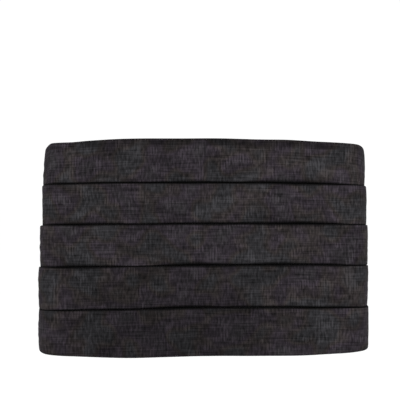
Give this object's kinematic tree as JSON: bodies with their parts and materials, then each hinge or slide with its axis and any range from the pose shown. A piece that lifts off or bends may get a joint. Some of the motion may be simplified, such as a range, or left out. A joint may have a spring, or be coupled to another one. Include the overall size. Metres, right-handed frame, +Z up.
{
  "type": "cummerbund",
  "caption": "Pleated waist sash closed in a flat loop: folded cloth bands with their folds upward, bound ends behind, and woven straps joined by a flat metal clasp.",
  "frame": {"origin": "centre of the loop, level with the middle of the front's height, where the waist goes through", "axes": "+Z up the wearer, -Y out of the pleated front, +X to the right as seen from the front"},
  "size_m": [0.2142, 0.0443, 0.1413],
  "materials": {
    "pleat_cloth": "matt charcoal cloth with a fine slub weave",
    "strap_webbing": "ribbed black webbing",
    "clasp_metal": "nickel plated, satin"
  },
  "bodies": {
    "root": {"top_pleat": "pleat_cloth", "second_pleat": "pleat_cloth", "middle_pleat": "pleat_cloth", "fourth_pleat": "pleat_cloth", "bottom_pleat": "pleat_cloth", "left_end_binding": "pleat_cloth", "right_end_binding": "pleat_cloth", "left_back_strap": "strap_webbing", "right_back_strap": "strap_webbing", "back_clasp": "clasp_metal"}
  },
  "joints": []
}
